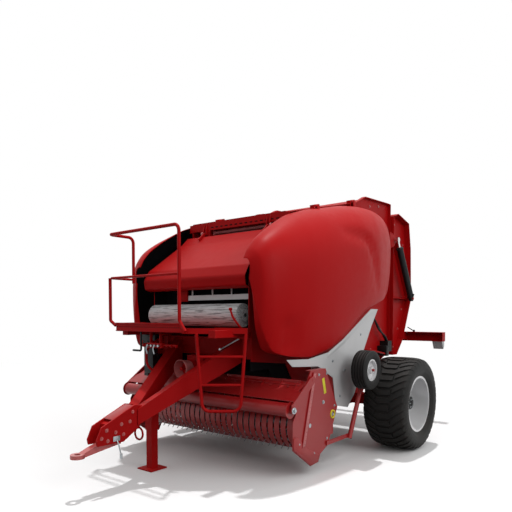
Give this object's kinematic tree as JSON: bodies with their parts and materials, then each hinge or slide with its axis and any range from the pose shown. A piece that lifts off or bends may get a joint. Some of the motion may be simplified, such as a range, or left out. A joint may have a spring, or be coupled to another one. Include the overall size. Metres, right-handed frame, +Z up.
{
  "type": "round baler",
  "caption": "Trailed round baler with a belt chamber, lifting tailgate, side covers, net wrap unit, tined pick-up, platform and ladder, standing on its jack.",
  "frame": {"origin": "centre of the bounding box at ground level", "axes": "+X towards the machine's left side, +Y towards the tailgate, +Z up from the ground"},
  "size_m": [3.18, 5.22, 2.99],
  "materials": {
    "red_paint": "gloss",
    "silver_paint": "satin",
    "rim_paint": "satin",
    "black_paint": "satin",
    "grey_steel": "satin",
    "main_tyre": "matte",
    "belt": "matte",
    "net": "matte",
    "red_panel": "gloss",
    "lamp": "satin"
  },
  "bodies": {
    "frame": {"side_wall_left": "red_paint", "side_wall_right": "red_paint", "roof_frame": "red_paint", "chamber_belts": "belt", "axle_beam": "red_paint", "rotor_housing": "black_paint", "fender_left": "silver_paint", "fender_right": "silver_paint", "drawbar_left": "red_paint", "drawbar_right": "red_paint", "front_crossmember": "red_paint", "hitch_nose": "red_paint", "tow_eye": "red_paint", "input_gearbox": "red_paint", "jack_sleeve": "red_paint", "platform": "red_paint", "platform_rail": "red_paint", "ladder": "red_paint", "net_tray": "black_paint", "net_guard_bar": "silver_paint", "valve_box": "black_paint", "hose_stand": "black_paint", "crank_handle": "black_paint"},
    "wheel_left": {"tyre_left": "main_tyre", "rim_left": "rim_paint", "hub_left": "black_paint"},
    "wheel_right": {"tyre_right": "main_tyre", "rim_right": "rim_paint", "hub_right": "black_paint"},
    "jack": {"jack_leg": "red_paint"},
    "pickup": {"pickup_beam": "red_paint", "pickup_panels": "red_paint", "pickup_bands": "red_paint", "gauge_legs": "red_paint"},
    "reel": {"tine_reel": "grey_steel"},
    "guard": {"wind_guard": "red_paint"},
    "guard_roller": {"crop_roller": "red_paint"},
    "gauge_wheel_left": {"gauge_tyre_left": "main_tyre", "gauge_rim_left": "rim_paint"},
    "gauge_wheel_right": {"gauge_tyre_right": "main_tyre", "gauge_rim_right": "rim_paint"},
    "tailgate": {"tailgate_shell": "red_paint", "tailgate_belts": "belt", "lamp_beam": "red_paint", "rear_lamps": "lamp"},
    "barrel_left": {"cylinder_barrel_left": "black_paint"},
    "barrel_right": {"cylinder_barrel_right": "black_paint"},
    "rod_left": {"cylinder_rod_left": "grey_steel"},
    "rod_right": {"cylinder_rod_right": "grey_steel"},
    "hood": {"net_hood": "red_paint"},
    "cover_left": {"side_cover_left": "red_panel"},
    "cover_right": {"side_cover_right": "red_panel"},
    "net_core": {"net_roll": "net"},
    "front_roller": {"top_roller": "black_paint"}
  },
  "joints": [
    {"name": "wheel_left_spin", "type": "hinge", "parent": "frame", "child": "wheel_left", "pos_m": [1.345, 0.71, 0.51], "axis": [1, 0, 0], "continuous": true},
    {"name": "wheel_right_spin", "type": "hinge", "parent": "frame", "child": "wheel_right", "pos_m": [-1.345, 0.71, 0.51], "axis": [1, 0, 0], "continuous": true},
    {"name": "jack_slide", "type": "slide", "parent": "frame", "child": "jack", "axis": [0, 0, 1], "range_m": [0, 0.2]},
    {"name": "pickup_lift", "type": "hinge", "parent": "frame", "child": "pickup", "pos_m": [0, -0.29, 0.72], "axis": [-1, 0, 0], "range_deg": [-5, 5]},
    {"name": "reel_spin", "type": "hinge", "parent": "pickup", "child": "reel", "pos_m": [0, -0.86, 0.47], "axis": [1, 0, 0], "continuous": true},
    {"name": "guard_swing", "type": "hinge", "parent": "pickup", "child": "guard", "pos_m": [0, -0.845, 0.895], "axis": [-1, 0, 0], "range_deg": [0, 10]},
    {"name": "crop_roller_spin", "type": "hinge", "parent": "guard", "child": "guard_roller", "pos_m": [0, -1.17, 0.655], "axis": [1, 0, 0], "continuous": true},
    {"name": "gauge_wheel_left_spin", "type": "hinge", "parent": "pickup", "child": "gauge_wheel_left", "pos_m": [1.275, -0.02, 0.93], "axis": [1, 0, 0], "continuous": true},
    {"name": "gauge_wheel_right_spin", "type": "hinge", "parent": "pickup", "child": "gauge_wheel_right", "pos_m": [-1.275, -0.02, 0.93], "axis": [1, 0, 0], "continuous": true},
    {"name": "tailgate_lift", "type": "hinge", "parent": "frame", "child": "tailgate", "pos_m": [0, 1.82, 2.9], "axis": [1, 0, 0], "range_deg": [0, 60]},
    {"name": "hood_lift", "type": "hinge", "parent": "frame", "child": "hood", "pos_m": [0, -0.602, 2.41], "axis": [-1, 0, 0], "range_deg": [0, 60]},
    {"name": "net_roll_spin", "type": "hinge", "parent": "frame", "child": "net_core", "pos_m": [0, -1.19, 1.49], "axis": [1, 0, 0], "continuous": true},
    {"name": "top_roller_spin", "type": "hinge", "parent": "frame", "child": "front_roller", "pos_m": [0, -0.37, 2.36], "axis": [1, 0, 0], "continuous": true},
    {"name": "cover_left_lift", "type": "hinge", "parent": "frame", "child": "cover_left", "pos_m": [0.702, -0.14, 2.655], "axis": [0, -0.9746, -0.2241], "range_deg": [0, 65]},
    {"name": "cylinder_left_swing", "type": "hinge", "parent": "tailgate", "child": "barrel_left", "pos_m": [0.82, 2.26, 1.73], "axis": [1, 0, 0], "range_deg": [-0.5, 8]},
    {"name": "rod_left_extend", "type": "slide", "parent": "barrel_left", "child": "rod_left", "axis": [0, -0.529, 0.8486], "range_m": [0, 0.39]},
    {"name": "cover_right_lift", "type": "hinge", "parent": "frame", "child": "cover_right", "pos_m": [-0.702, -0.14, 2.655], "axis": [0, 0.9746, 0.2241], "range_deg": [0, 65]},
    {"name": "cylinder_right_swing", "type": "hinge", "parent": "tailgate", "child": "barrel_right", "pos_m": [-0.82, 2.26, 1.73], "axis": [1, 0, 0], "range_deg": [-0.5, 8]},
    {"name": "rod_right_extend", "type": "slide", "parent": "barrel_right", "child": "rod_right", "axis": [0, -0.529, 0.8486], "range_m": [0, 0.39]}
  ],
  "couplings": [
    {"joint": "cylinder_left_swing", "follows": "tailgate_lift", "ratio": 0.1136},
    {"joint": "rod_left_extend", "follows": "tailgate_lift", "m_per_rad": 0.3637},
    {"joint": "cylinder_right_swing", "follows": "tailgate_lift", "ratio": 0.1136},
    {"joint": "rod_right_extend", "follows": "tailgate_lift", "m_per_rad": 0.3637}
  ]
}
